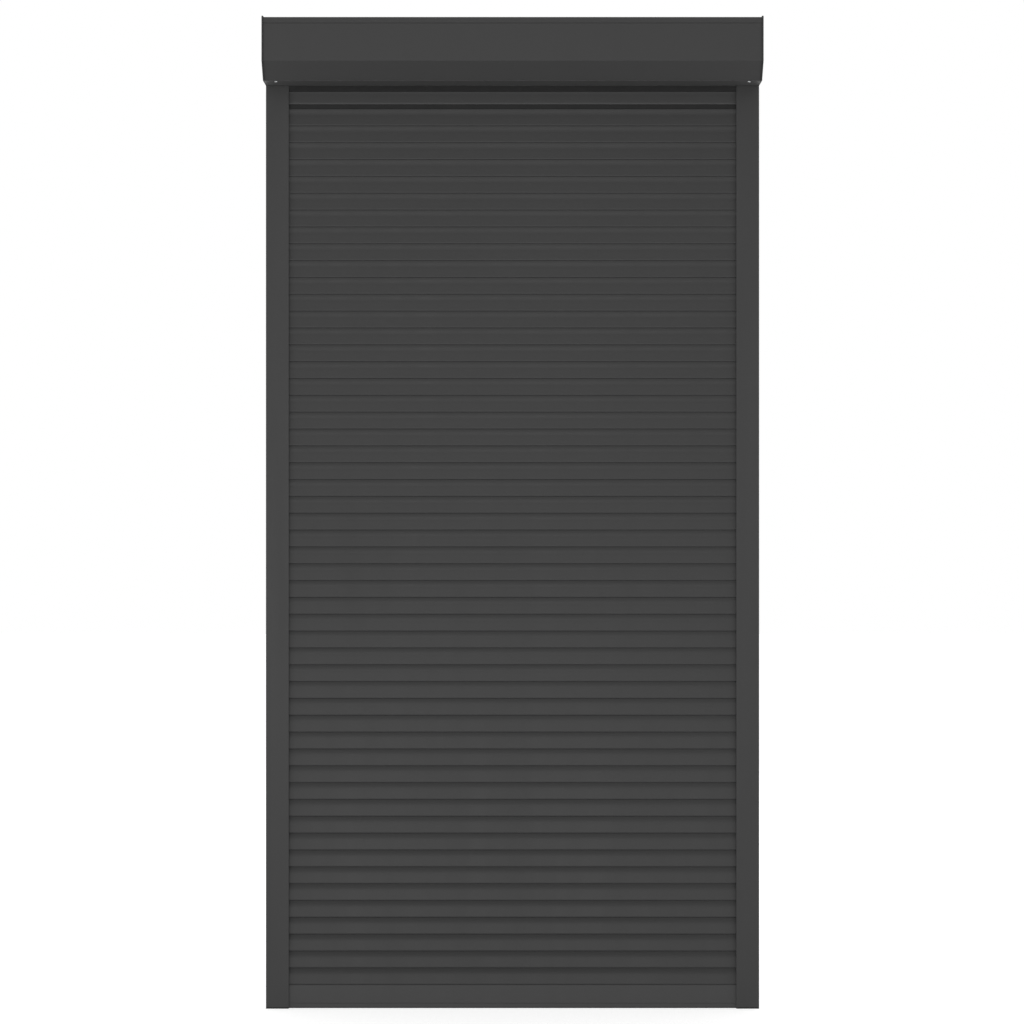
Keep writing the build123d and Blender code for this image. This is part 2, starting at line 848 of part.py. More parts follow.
def suspension_straps():
    """Steel straps from the clips to the shaft's upper rear flat, with a tab in its slot."""
    half = strap_thickness / 2
    middle = shaft_half + strap_gap + half
    low = hanger_z + pocket_ceiling + slat_skin + strap_gap
    flat_start = shaft_flat_point(middle, -shaft_across * strap_flat_share)
    line = Spline((curtain_y, low), flat_start, tangents=((0, 1), (-1, 1)))
    line += Line(flat_start, shaft_flat_point(middle, 0))
    tab = polygon(
        shaft_flat_point(middle + half, -half),
        shaft_flat_point(middle + half, half),
        shaft_flat_point(middle - strap_tab, half),
        shaft_flat_point(middle - strap_tab, -half),
    )
    strap = along_x(trace(line, strap_thickness) + tab, -strap_width / 2, strap_width / 2)
    return [Pos(x, 0, 0) * strap for x in hanger_places()]


def winding_shaft():
    """The eight-sided steel tube, with a slot in one flat for each strap."""
    tube = octagon_bar(shaft_across, shaft_left, shaft_right)
    tube -= octagon_bar(shaft_across - shaft_wall * 2, shaft_left - overrun, shaft_right + overrun)
    for x in hanger_places():
        slot = Box(shaft_slot_length, shaft_slot_width, (shaft_wall + overrun) * 2)
        tube -= Pos(x, 0, axis_z) * Rot(-45, 0, 0) * Pos(0, 0, shaft_half) * slot
    return tube - shaft_screw_hole()


shaft_inside = shaft_across - shaft_wall * 2 - shaft_fit * 2


def idler_end_plug():
    plug = octagon_bar(shaft_inside, shaft_left, shaft_left + idler_plug_length)
    plug += rod(idler_flange_radius, shaft_left - idler_flange, shaft_left)
    return plug - rod(pin_radius, shaft_left - idler_flange - overrun, pin_end)


pocket_floor = bearing_boss_length - bearing_pocket_depth - shell_end
bearing_left = pocket_floor + bearing_floor_gap
pin_start = pocket_floor + bearing_floor_gap / 2
pin_end = pin_start + pin_length


def idler_pin():
    return rod(pin_radius, pin_start, pin_end)


def idler_bearing_bush():
    bush = rod(bearing_radius, bearing_left, bearing_left + bearing_width)
    bearing_right = bearing_left + bearing_width
    return bush - rod_hole(pin_radius + running_fit, bearing_left - overrun, bearing_right + overrun)


# Tube motor

head_start = shaft_right + idler_flange / 2
head_end = shell_end - bracket_plate
tube_start = head_start - motor_length
wheel_end = tube_start - drive_wheel_gap
wheel_start = wheel_end - drive_wheel_length


def bracket_screw_places():
    """On the bracket's face, pointing into the cap."""
    half = bracket_hole_spacing / 2
    return [Pos(head_end, side * half, axis_z - side * half) * Rot(0, -90, 0) for side in (-1, 1)]


def motor_bracket():
    """The steel plate on the cap that holds the motor's square stub."""
    outline = Rectangle(bracket_size, bracket_size)
    outline = chamfer(outline.vertices(), bracket_corner)
    outline -= Rectangle(motor_stub + running_fit * 2, motor_stub + running_fit * 2)
    bracket = Pos(0, 0, axis_z) * along_x(outline, head_end, shell_end)
    return cut(bracket, [place * screw_hole(bracket_screw_length) for place in bracket_screw_places()])


def bracket_screws():
    return [place * screw(bracket_screw_length) for place in bracket_screw_places()]


def motor_head():
    head = rod(motor_head_radius, head_start, head_end)
    stub = Pos(0, 0, axis_z) * along_x(Rectangle(motor_stub, motor_stub), head_end, shell_end)
    return head + stub


def motor_tube():
    tube = rod(motor_radius, tube_start, head_start)
    bore_end = tube_start + motor_bore_depth
    return tube - rod_hole(output_shaft_radius + running_fit, tube_start - overrun, bore_end)


def motor_crown_ring():
    """The ring that turns with the shaft round the motor's neck."""
    start = shaft_right - crown_ring_length
    ring = octagon_bar(shaft_inside, start, shaft_right)
    return ring - rod_hole(motor_radius + running_fit, start - overrun, shaft_right + overrun)


def motor_output_shaft():
    return rod(output_shaft_radius, wheel_start, tube_start + motor_bore_depth - running_fit)


def motor_drive_wheel():
    wheel = octagon_bar(shaft_inside, wheel_start, wheel_end)
    wheel -= rod(output_shaft_radius, wheel_start - overrun, wheel_end + overrun)
    return wheel - shaft_screw_hole()


def shaft_screw_place():
    """On the shaft's top flat, over the middle of the drive wheel."""
    return Pos((wheel_start + wheel_end) / 2, 0, axis_z + shaft_half)


def shaft_screw_hole():
    return shaft_screw_place() * screw_hole(shaft_screw_length)


def shaft_screw():
    return shaft_screw_place() * screw(shaft_screw_length)


nodes = {
    "end_cap_left": end_cap_left(),
    "end_cap_right": end_cap_right(),
    "rear_top_shell": rear_top_shell(),
    "front_panel": front_panel(),
    "underside_cover": underside_cover(),
    "cover_screws": cover_screws(),
    "shell_screws": shell_screws(),
    "cable_grommet": cable_grommet(),
    "outlet_seal_carrier": outlet_seal_carrier(),
    "outlet_seal": outlet_seal(),
    "inlet_funnel_left": mirrored(inlet_funnel()),
    "inlet_funnel_right": inlet_funnel(),
    "guide_rail_left": mirrored(guide_rail()),
    "guide_rail_right": guide_rail(),
    "rail_seal_left_front": mirrored(rail_seal_front()),
    "rail_seal_left_back": mirrored(rail_seal_back()),
    "rail_seal_right_front": rail_seal_front(),
    "rail_seal_right_back": rail_seal_back(),
    "rail_end_plug_left": mirrored(rail_end_plug()),
    "rail_end_plug_right": rail_end_plug(),
    "winding_shaft": winding_shaft(),
    "idler_end_plug": idler_end_plug(),
    "idler_pin": idler_pin(),
    "idler_bearing_bush": idler_bearing_bush(),
    "motor_bracket": motor_bracket(),
    "bracket_screws": bracket_screws(),
    "motor_head": motor_head(),
    "motor_tube": motor_tube(),
    "motor_crown_ring": motor_crown_ring(),
    "motor_output_shaft": motor_output_shaft(),
    "motor_drive_wheel": motor_drive_wheel(),
    "shaft_screw": shaft_screw(),
    "suspension_straps": suspension_straps(),
    "hanger_clips": hanger_clips(),
    "slats": slats(),
    "slat_foam_cores": slat_foam_cores(),
    "slat_end_locks": slat_end_locks(),
    "bottom_bar": bottom_bar(),
    "bottom_bar_seal": bottom_bar_seal(),
    "bottom_bar_end_plugs": bottom_bar_end_plugs(),
}

os.makedirs("parts", exist_ok=True)
for name, solids in nodes.items():
    piece = Compound(children=solids) if isinstance(solids, list) else solids
    export_step(piece, f"parts/{name}.step")
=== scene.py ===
import json
import math
import bpy
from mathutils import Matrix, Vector

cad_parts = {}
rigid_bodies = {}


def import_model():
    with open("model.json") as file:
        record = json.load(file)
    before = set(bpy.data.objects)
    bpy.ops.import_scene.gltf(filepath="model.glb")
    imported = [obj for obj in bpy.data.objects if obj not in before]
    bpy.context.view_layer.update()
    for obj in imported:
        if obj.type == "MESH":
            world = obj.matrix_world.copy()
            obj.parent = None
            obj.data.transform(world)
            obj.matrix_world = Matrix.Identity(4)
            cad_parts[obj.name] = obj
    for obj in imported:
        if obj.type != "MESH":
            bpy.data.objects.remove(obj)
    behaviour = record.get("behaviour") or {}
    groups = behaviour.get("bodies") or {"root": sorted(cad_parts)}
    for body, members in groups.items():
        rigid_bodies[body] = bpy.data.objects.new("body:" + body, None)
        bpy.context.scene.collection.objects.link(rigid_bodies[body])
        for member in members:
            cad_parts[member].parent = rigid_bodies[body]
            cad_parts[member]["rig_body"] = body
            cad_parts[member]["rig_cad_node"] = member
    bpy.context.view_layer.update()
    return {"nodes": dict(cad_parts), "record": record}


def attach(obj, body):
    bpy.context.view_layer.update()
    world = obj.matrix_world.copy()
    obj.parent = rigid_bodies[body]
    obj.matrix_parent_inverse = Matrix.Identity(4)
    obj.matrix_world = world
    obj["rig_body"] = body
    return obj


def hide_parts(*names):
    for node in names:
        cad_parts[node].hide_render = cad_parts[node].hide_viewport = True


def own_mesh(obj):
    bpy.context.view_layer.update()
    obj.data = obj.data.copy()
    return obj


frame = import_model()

mm = 0.001
curtainY = 57.5
print("frame loaded")


shot = {"lens": 102.55, "sensor": 36, "distance": 6.4575, "height": 1.1075, "side": -0.0012}


def placeCamera():
    bpy.ops.object.camera_add(
        location=(shot["side"], -shot["distance"], shot["height"]), rotation=(math.pi / 2, 0, 0)
    )
    camera = bpy.context.object
    camera.name = "photoCamera"
    camera.data.lens = shot["lens"]
    camera.data.sensor_width = shot["sensor"]
    camera.data.clip_end = 200
    bpy.context.scene.camera = camera
    bpy.context.scene.view_settings.view_transform = "Standard"


lamps = {
    "keyAbove": {"at": (-0.5, -3.2, 5.6), "size": 3.6, "power": 6},
    "fillFront": {"at": (-1.3, -6.6, 0.9), "size": 3.2, "power": 42},
    "lowFront": {"at": (-0.1, -5.6, 0.35), "size": 2.2, "power": 72},
    "rimBack": {"at": (1.5, 4.5, 3.5), "size": 2.5, "power": 45},
}


def placeLamps():
    target = Vector((0, 0, 1.1))
    for name, lamp in lamps.items():
        place = Vector(lamp["at"])
        bpy.ops.object.light_add(type="AREA", location=place)
        light = bpy.context.object
        light.name = name
        light.rotation_euler = (target - place).to_track_quat("-Z", "Y").to_euler()
        light.data.size = lamp["size"]
        light.data.energy = lamp["power"]


class Wire:
    # an output socket that adds, multiplies and so on by making Math nodes
    def __init__(self, maker, socket):
        self.maker = maker
        self.socket = socket

    def maths(self, operation, first, second):
        return self.maker.node("ShaderNodeMath", {"operation": operation}, {0: first, 1: second})

    def __add__(self, other):
        return self.maths("ADD", self, other)

    def __radd__(self, other):
        return self.maths("ADD", other, self)

    def __sub__(self, other):
        return self.maths("SUBTRACT", self, other)

    def __rsub__(self, other):
        return self.maths("SUBTRACT", other, self)

    def __mul__(self, other):
        return self.maths("MULTIPLY", self, other)

    def __rmul__(self, other):
        return self.maths("MULTIPLY", other, self)

    def __pow__(self, other):
        return self.maths("POWER", self, other)

    def most(self, other):
        return self.maths("MAXIMUM", self, other)

    def least(self, other):
        return self.maths("MINIMUM", self, other)


class NodeTree:
    # makes any node in a tree and links or sets its sockets
    def __init__(self, tree):
        self.tree = tree

    def node(self, kind, settings=None, sockets=None, out=0):
        made = self.tree.nodes.new(kind)
        for key, value in (settings or {}).items():
            if key == "stops":
                ramp = made.color_ramp.elements
                while len(ramp) < len(value):
                    ramp.new(0.5)
                for element, (place, shade) in zip(ramp, value):
                    element.position = place
                    element.color = (shade, shade, shade, 1)
            else:
                setattr(made, key, value)
        for key, value in (sockets or {}).items():
            self.feed(made.inputs[key], value)
        return Wire(self, made.outputs[out])

    def feed(self, socket, value):
        if isinstance(value, Wire):
            self.tree.links.new(value.socket, socket)
        else:
            socket.default_value = value


class Finish(NodeTree):
    # one material: a Principled shader and what feeds it
    def __init__(self, name):
        self.material = bpy.data.materials.new(name)
        self.material.use_nodes = True
        super().__init__(self.material.node_tree)
        self.tree.nodes.clear()
        self.shader = self.tree.nodes.new("ShaderNodeBsdfPrincipled")
        output = self.tree.nodes.new("ShaderNodeOutputMaterial")
        self.tree.links.new(self.shader.outputs[0], output.inputs[0])

    def set(self, sockets):
        for key, value in sockets.items():
            self.feed(self.shader.inputs[key], value)

    def place(self, stretch=(1, 1, 1)):
        where = self.node("ShaderNodeTexCoord", out=3)
        if stretch == (1, 1, 1):
            return where
        return self.node("ShaderNodeMapping", None, {"Vector": where, "Scale": stretch})

    def noise(self, scale, detail=2.0, stretch=(1, 1, 1), roughness=0.5):
        return self.node(
            "ShaderNodeTexNoise", None,
            {"Vector": self.place(stretch), "Scale": scale, "Detail": detail, "Roughness": roughness},
        )

    def ramp(self, value, *stops):
        return self.node("ShaderNodeValToRGB", {"stops": stops}, {0: value})

    def mixed(self, amount, first, second):
        def colour(shade):
            return shade if isinstance(shade, Wire) else (*shade, 1)
        return self.node(
            "ShaderNodeMix", {"data_type": "RGBA"}, {0: amount, 6: colour(first), 7: colour(second)}, out=2
        )

    def upward(self):
        # how far a surface faces the sky, from 0 to 1
        normal = self.node("ShaderNodeNewGeometry", out=1)
        return self.node("ShaderNodeSeparateXYZ", None, {0: normal}, out=2).most(0.0)

    def bump(self, height, strength, depth):
        return self.node(
            "ShaderNodeBump", None, {"Height": height, "Strength": strength, "Distance": depth}
        )


powder = {"grain": 1500, "orangePeel": 330, "cloud": 5, "rain": 26, "rainRun": (1, 1, 0.07), "speck": 2400,
          "specked": 0.18, "speckShine": 1.9, "dust": 40, "dusted": 0.14, "dustShade": (0.21, 0.205, 0.198),
          "plain": 0.94, "cloudTone": 0.07, "rainTone": 0.05, "rainDull": 0.12, "grainDull": 0.1,
          "dustDull": 0.12, "grainRise": 0.45, "rise": 0.00018}


def powderCoat(name, shade, roughness=0.5, peel=0.12, paintedShading=None, shine=0.28):
    # fine textured coat: orange peel, tiny specks, rain marks and a little dust on what faces up
    coat = Finish(name)
    grain = coat.noise(powder["grain"], 2.0)
    orangePeel = coat.noise(powder["orangePeel"], 1.0)
    cloud = coat.noise(powder["cloud"], 3.0)
    rain = coat.noise(powder["rain"], 3.0, powder["rainRun"])
    speck = coat.ramp(coat.noise(powder["speck"], 0.0), (0.66, 0.0), (0.78, 1.0))
    dust = coat.upward() * coat.ramp(coat.noise(powder["dust"], 4.0), (0.3, 0.25), (0.75, 1.0))
    tone = powder["plain"] + cloud * powder["cloudTone"] + rain * powder["rainTone"]
    # an optional multiplier paints shade and light into the tone; the slats use it
    if paintedShading:
        tone = tone * paintedShading(coat)
    base = coat.node("ShaderNodeVectorMath", {"operation": "SCALE"}, {0: shade, "Scale": tone})
    specked = coat.mixed(speck * powder["specked"], base, [part * powder["speckShine"] for part in shade])
    dull = (rain - 0.5) * powder["rainDull"] + (grain - 0.5) * powder["grainDull"]
    coat.set({
        "Base Color": coat.mixed(dust * powder["dusted"], specked, powder["dustShade"]),
        "Roughness": roughness + dull + dust * powder["dustDull"],
        "Normal": coat.bump(grain * powder["grainRise"] + orangePeel, peel, powder["rise"]),
        "Specular IOR Level": shine,
    })
    return coat.material


joint = {"pitch": 0.0376, "firstZ": 0.052, "openZ": 2.0165, "open": 0.0103, "fade": 0.023, "paintedJointShading": 0.2,
         "spread": 1.1, "topSlatPaintedLight": 0.36, "neckFront": 0.0571, "neckBack": 0.0594, "neck": 0.85,
         "railX": 0.499, "shadeByRail": 0.013, "railShadeDepth": 0.14}


def slatPaintedShading(coat):
    # painted shade that thins out below each joint, painted light that makes the top slat under the box
    # lighter, painted shade on the neck inside the open joint, and painted shade beside the rails
    across, depth, height = [
        coat.node("ShaderNodeSeparateXYZ", None, {0: coat.place()}, out=axis) for axis in range(3)
    ]
    opened = coat.node("ShaderNodeMath", {"operation": "GREATER_THAN"}, {0: height, 1: joint["openZ"]})
    turns = (height - joint["firstZ"] - opened * joint["open"]) * (1 / joint["pitch"])
    below = (1.0 - coat.node("ShaderNodeMath", {"operation": "FRACT"}, {0: turns})) * joint["pitch"]
    # painted shade below each joint, fading out downwards
    plain = (below * (1 / joint["fade"])).least(1.0)
    shadeBelowJoint = (1.0 - plain) ** joint["spread"] * (1.0 - opened) * joint["paintedJointShading"]
    # painted light: the top slat above the open joint is made lighter, and the painted shade below the joints
    # stops there
    paintedJointShading = 1.0 - shadeBelowJoint + opened * joint["topSlatPaintedLight"]
    # painted shade on the neck that shows inside the open joint
    inside = coat.node("ShaderNodeMath", {"operation": "GREATER_THAN"}, {0: depth, 1: joint["neckFront"]})
    behind = coat.node("ShaderNodeMath", {"operation": "GREATER_THAN"}, {0: depth, 1: joint["neckBack"]})
    neck = 1.0 - inside * (1.0 - behind) * joint["neck"]
    # painted shade on the slats next to each rail
    toRail = joint["railX"] - coat.node("ShaderNodeMath", {"operation": "ABSOLUTE"}, {0: across})
    shadeByRail = 1.0 - (1.0 - (toRail * (1 / joint["shadeByRail"])).most(0.0).least(1.0)) * joint["railShadeDepth"]
    return paintedJointShading * neck * shadeByRail


moulded = {"spark": 1900, "cloud": 18, "dark": 0.88, "cloudTone": 0.24, "greyed": 0.1,
           "greyShade": (0.16, 0.15, 0.14), "sparkDull": 0.14, "sparkRise": 0.16, "rise": 0.00012,
           "shine": 0.2}


def mouldedPlastic(name, shade, roughness=0.55):
    # fine spark texture, a little greyer where it faces up
    plastic = Finish(name)
    spark = plastic.noise(moulded["spark"], 2.0)
    cloud = plastic.noise(moulded["cloud"], 3.0)
    tone = plastic.node(
        "ShaderNodeVectorMath", {"operation": "SCALE"},
        {0: shade, "Scale": moulded["dark"] + cloud * moulded["cloudTone"]},
    )
    plastic.set({
        "Base Color": plastic.mixed(plastic.upward() * moulded["greyed"], tone, moulded["greyShade"]),
        "Roughness": roughness + (spark - 0.5) * moulded["sparkDull"],
        "Normal": plastic.bump(spark, moulded["sparkRise"], moulded["rise"]),
        "Specular IOR Level": moulded["shine"],
    })
    return plastic.material


rubberLook = {"lines": 900, "along": (0.01, 1, 1), "chalk": 70, "chalked": 0.3, "paler": 2.2, "lift": 0.006,
              "roughness": 0.74, "lineDull": 0.1, "lineRise": 0.14, "rise": 0.0001, "shine": 0.3}


def sealRubber(name, shade):
    # matt rubber with the fine lines that a die leaves along it, and chalky wear
    rubber = Finish(name)
    lines = rubber.noise(rubberLook["lines"], 1.0, rubberLook["along"])
    chalk = rubber.ramp(rubber.noise(rubberLook["chalk"], 4.0), (0.5, 0.0), (0.9, 1.0))
    pale = [part * rubberLook["paler"] + rubberLook["lift"] for part in shade]
    rubber.set({
        "Base Color": rubber.mixed(chalk * rubberLook["chalked"], shade, pale),
        "Roughness": rubberLook["roughness"] + (lines - 0.5) * rubberLook["lineDull"],
        "Normal": rubber.bump(lines, rubberLook["lineRise"], rubberLook["rise"]),
        "Specular IOR Level": rubberLook["shine"],
    })
    return rubber.material


metalLook = {"lines": 700, "cloud": 30, "dark": 0.86, "lineTone": 0.28, "stainMetal": 0.25,
             "lineDull": 0.16, "stainDull": 0.16, "lineRise": 0.1, "rise": 0.00008}


def bareMetal(name, shade, roughness=0.34, stretch=(0.02, 1, 1), stain=(0.2, 0.19, 0.18), stained=0.25):
    # drawn or plated metal: lines along its length, cloudy stains
    metal = Finish(name)
    lines = metal.noise(metalLook["lines"], 3.0, stretch)
    cloud = metal.ramp(metal.noise(metalLook["cloud"], 5.0), (0.45, 0.0), (0.8, 1.0))
    tone = metal.node(
        "ShaderNodeVectorMath", {"operation": "SCALE"},
        {0: shade, "Scale": metalLook["dark"] + lines * metalLook["lineTone"]},
    )
    metal.set({
        "Base Color": metal.mixed(cloud * stained, tone, stain),
        "Metallic": 1.0 - cloud * metalLook["stainMetal"],
        "Roughness": roughness + (lines - 0.5) * metalLook["lineDull"] + cloud * metalLook["stainDull"],
        "Normal": metal.bump(lines, metalLook["lineRise"], metalLook["rise"]),
    })
    return metal.material


foamLook = {"cells": 1400, "wall": (0.62, 0.52, 0.3), "pitShade": (0.3, 0.23, 0.11), "roughness": 0.95,
            "cellRise": 0.6, "rise": 0.0004, "shine": 0.1}


def slatFoam(name):
    # cut polyurethane foam: open cells, with painted shade in the pits
    foam = Finish(name)
    cells = foam.node("ShaderNodeTexVoronoi", None, {"Vector": foam.place(), "Scale": foamLook["cells"]})
    # painted shade: the cell pits are darker
    paintedPitShade = foam.ramp(cells, (0.1, 1.0), (0.6, 0.0))
    foam.set({
        "Base Color": foam.mixed(paintedPitShade, foamLook["wall"], foamLook["pitShade"]),
        "Roughness": foamLook["roughness"],
        "Normal": foam.bump(cells, foamLook["cellRise"], foamLook["rise"]),
        "Specular IOR Level": foamLook["shine"],
    })
    return foam.material


# the flap grey is painted light: the underside cover gets a lighter grey than the sheet it is made of
greys = {name: (level, level, level) for name, level in {
    "sheet": 0.0358, "rail": 0.0328, "slat": 0.0419, "flap": 0.06, "bar": 0.0478, "cap": 0.021,
}.items()}
finishes = {
    "grey_coated_sheet": powderCoat("coatedSheet", greys["sheet"]),
    "grey_coated_rail": powderCoat("coatedRail", greys["rail"]),
    # the slats' coat has painted shade below each joint, on the open neck and beside the rails, and painted
    # light on the top slat
    "grey_coated_slat": powderCoat("coatedSlat", greys["slat"], 0.46, 0.08, slatPaintedShading, 0.2),
    "grey_coated_bar": powderCoat("coatedBar", greys["bar"]),
    "cast_aluminium": powderCoat("coatedCasting", greys["cap"], 0.55, 0.2),
    "mill_aluminium": bareMetal("millAluminium", (0.62, 0.62, 0.63), 0.38),
    "zinc_steel": bareMetal("zincSteel", (0.58, 0.59, 0.6), 0.36, (0.2, 1, 1), (0.3, 0.3, 0.27), 0.35),
    "spring_steel": bareMetal("springSteel", (0.3, 0.31, 0.34), 0.3, (1, 0.05, 0.05)),
    "motor_metal": bareMetal("motorMetal", (0.55, 0.56, 0.58), 0.3, (0.01, 1, 1)),
    "black_rubber": sealRubber("sealRubber", (0.011, 0.011, 0.011)),
    "black_plastic": mouldedPlastic("mouldedBlack", (0.009, 0.009, 0.009)),
    "grey_soft_plastic": sealRubber("glidingSeal", (0.034, 0.034, 0.034)),
    "foam": slatFoam("slatFoam"),
}
# a lighter copy of the sheet coat for the underside cover: painted light in place of light from below
flapPaintedLightCoat = powderCoat("coatedFlapPaintedLight", greys["flap"])
slotOf = {part["node"]: part["material_slot"] for part in frame["record"]["subparts"]}


def dressNodes():
    for node, thing in frame["nodes"].items():
        thing.data.materials.clear()
        thing.data.materials.append(finishes[slotOf[node]])


ambient = 0.58


def whiteWorld():
    # white to the eye and in gloss, plainer as light
    world = bpy.data.worlds.new("studioWorld")
    bpy.context.scene.world = world
    world.use_nodes = True
    sky = NodeTree(world.node_tree)
    background = sky.tree.nodes["Background"]
    background.inputs["Color"].default_value = (1, 1, 1, 1)
    camera, glossy, clear = [
        sky.node("ShaderNodeLightPath", out=f"Is {ray} Ray") for ray in ("Camera", "Glossy", "Transmission")
    ]
    seen = camera.most(glossy).most(clear)
    strength = sky.node("ShaderNodeMapRange", None, {"Value": seen, "To Min": ambient, "To Max": 1.0})
    sky.feed(background.inputs["Strength"], strength)


floor = {"reach": 40.0, "drop": 0.0004, "paper": 0.88, "glow": 0.6}


def paperFloor():
    # white to the eye and in gloss, and it still takes the shadow
    bpy.ops.mesh.primitive_plane_add(size=floor["reach"], location=(0, 0, -floor["drop"]))
    ground = bpy.context.object
    ground.name = "paperFloor"
    paper = Finish("paperFloor")
    fibres = paper.noise(60, 4.0)
    seen = paper.node("ShaderNodeLightPath", out="Is Camera Ray").most(
        paper.node("ShaderNodeLightPath", out="Is Glossy Ray")
    )
    paper.set({
        "Base Color": paper.mixed(fibres * 0.02, [floor["paper"]] * 3, (0.7, 0.7, 0.7)),
        "Roughness": 0.9,
        "Specular IOR Level": 0.1,
        "Emission Color": paper.mixed(seen, (0, 0, 0), (1, 1, 1)),
        "Emission Strength": floor["glow"],
    })
    paper.material.cycles.emission_sampling = "NONE"  # the glow lights nothing
    ground.data.materials.append(paper.material)


def clearSelection():
    if bpy.context.mode != "OBJECT":
        bpy.ops.object.mode_set(mode="OBJECT")
    bpy.ops.object.select_all(action="DESELECT")


def only(piece):
    clearSelection()
    piece.select_set(True)
    bpy.context.view_layer.objects.active = piece


def drawOutline(name, corners, pull):
    # a plane collapsed to the first corner, extruded from corner to corner, filled and pulled
    clearSelection()
    corners = [Vector(corner) * mm for corner in corners]
    bpy.ops.mesh.primitive_plane_add(size=mm, location=corners[0])
    piece = bpy.context.object
    piece.name = name
    piece.data.name = name
    bpy.ops.object.mode_set(mode="EDIT")
    bpy.ops.mesh.select_all(action="SELECT")
    bpy.ops.mesh.merge(type="CENTER")
    for before, corner in zip(corners, corners[1:]):
        bpy.ops.mesh.extrude_region_move(TRANSFORM_OT_translate={"value": corner - before})
    bpy.ops.mesh.select_all(action="SELECT")
    bpy.ops.mesh.edge_face_add()
    bpy.ops.mesh.extrude_region_move(TRANSFORM_OT_translate={"value": Vector(pull) * mm})
    bpy.ops.mesh.select_all(action="SELECT")
    bpy.ops.mesh.normals_make_consistent(inside=False)
    bpy.ops.object.mode_set(mode="OBJECT")
    bpy.ops.object.transform_apply(location=True, rotation=True, scale=True)
    return piece


def alongBox(name, section, start, end):
    # a section drawn as (y, z), pulled along the box from start to end
    return drawOutline(name, [(start, y, z) for y, z in section], (end - start, 0, 0))


def addModifier(piece, kind, **settings):
    only(piece)
    modifier = piece.modifiers.new(kind.title(), kind)
    for key, value in settings.items():
        setattr(modifier, key, value)
    bpy.ops.object.modifier_apply(modifier=modifier.name)


def bevelEdges(piece, width, segments=2, angle=30):
    addModifier(piece, "BEVEL", width=width * mm, segments=segments, limit_method="ANGLE",
                angle_limit=math.radians(angle))


def smoothOver(piece, angle=32):
    only(piece)
    bpy.ops.object.shade_smooth_by_angle(angle=math.radians(angle))
    addModifier(piece, "WEIGHTED_NORMAL", keep_sharp=True, weight=80)


def finishPiece(piece, slot, body, *nodes):
    only(piece)
    piece.data.materials.clear()
    piece.data.materials.append(finishes[slot])
    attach(piece, body)
    if nodes:
        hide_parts(*nodes)
    return piece


def softened(node, name, width, body, segments=2):
    # a merged copy of a CAD node with its edges rounded
    source = frame["nodes"][node]
    only(source)
    bpy.ops.object.duplicate()
    piece = bpy.context.object
    piece.name = name
    piece.data.name = name
    bpy.ops.object.parent_clear(type="CLEAR_KEEP_TRANSFORM")
    bpy.ops.object.transform_apply(location=True, rotation=True, scale=True)
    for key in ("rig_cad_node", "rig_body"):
        if key in piece:
            del piece[key]
    bpy.ops.object.mode_set(mode="EDIT")
    bpy.ops.mesh.select_all(action="SELECT")
    bpy.ops.mesh.remove_doubles(threshold=0.00001)
    bpy.ops.mesh.dissolve_limited(angle_limit=math.radians(1))
    bpy.ops.object.mode_set(mode="OBJECT")
    bevelEdges(piece, width, segments)
    smoothOver(piece)
    return finishPiece(piece, slotOf[node], body, node)


def rounded(points, radius, steps=4):
    # an open path with its inner corners turned into bends; radius may differ from corner to corner
    result = [points[0]]
    radii = radius if isinstance(radius, list) else [radius] * (len(points) - 2)
    for before, corner, after, bend in zip(points, points[1:], points[2:], radii):
        middle = Vector(corner)
        back = Vector(before) - middle
        ahead = Vector(after) - middle
        reach = min(bend / math.tan(back.angle(ahead) / 2), 0.48 * min(back.length, ahead.length))
        start = middle + back.normalized() * reach
        end = middle + ahead.normalized() * reach
        for step in range(steps + 1):
            share = step / steps
            result.append(tuple(
                start * (1 - share) ** 2 + middle * 2 * share * (1 - share) + end * share ** 2
            ))
    result.append(points[-1])
    return result


def offsetPath(points, distance):
    # the same path moved to its left, with mitred corners
    sides = []
    for first, second in zip(points, points[1:]):
        run = (Vector(second) - Vector(first)).normalized()
        sides.append(Vector((-run.y, run.x)))
    moved = [Vector(points[0]) + sides[0] * distance]
    for corner, before, after in zip(points[1:], sides, sides[1:]):
        middle = (before + after).normalized()
        moved.append(Vector(corner) + middle * (distance / middle.dot(after)))
    moved.append(Vector(points[-1]) + sides[-1] * distance)
    return [tuple(point) for point in moved]


def foldedSheet(name, path, thickness, bend, start, end):
    # roll-formed sheet: its outer face follows the path, and its thickness lies to the path's left
    outer = []
    inner = []
    for before, corner, after in zip(path, path[1:], path[2:]):
        first = Vector(corner) - Vector(before)
        second = Vector(after) - Vector(corner)
        left = first.x * second.y - first.y * second.x > 0
        outer.append(bend + thickness if left else bend)
        inner.append(bend if left else bend + thickness)
    section = rounded(path, outer) + rounded(offsetPath(path, thickness), inner)[::-1]
    piece = alongBox(name, section, start, end)
    bevelEdges(piece, 0.15, 1, 60)
    smoothOver(piece)
    return piece


def arcPoints(start, end, sag, steps):
    # points between two places on z, bowed along y by sag in the middle
    half = (end[1] - start[1]) / 2
    result = []
    for step in range(1, steps):
        share = step / steps
        fall = 1 - (2 * share - 1) ** 2
        result.append((start[0] + (end[0] - start[0]) * share + sag * fall, start[1] + half * 2 * share))
    return result


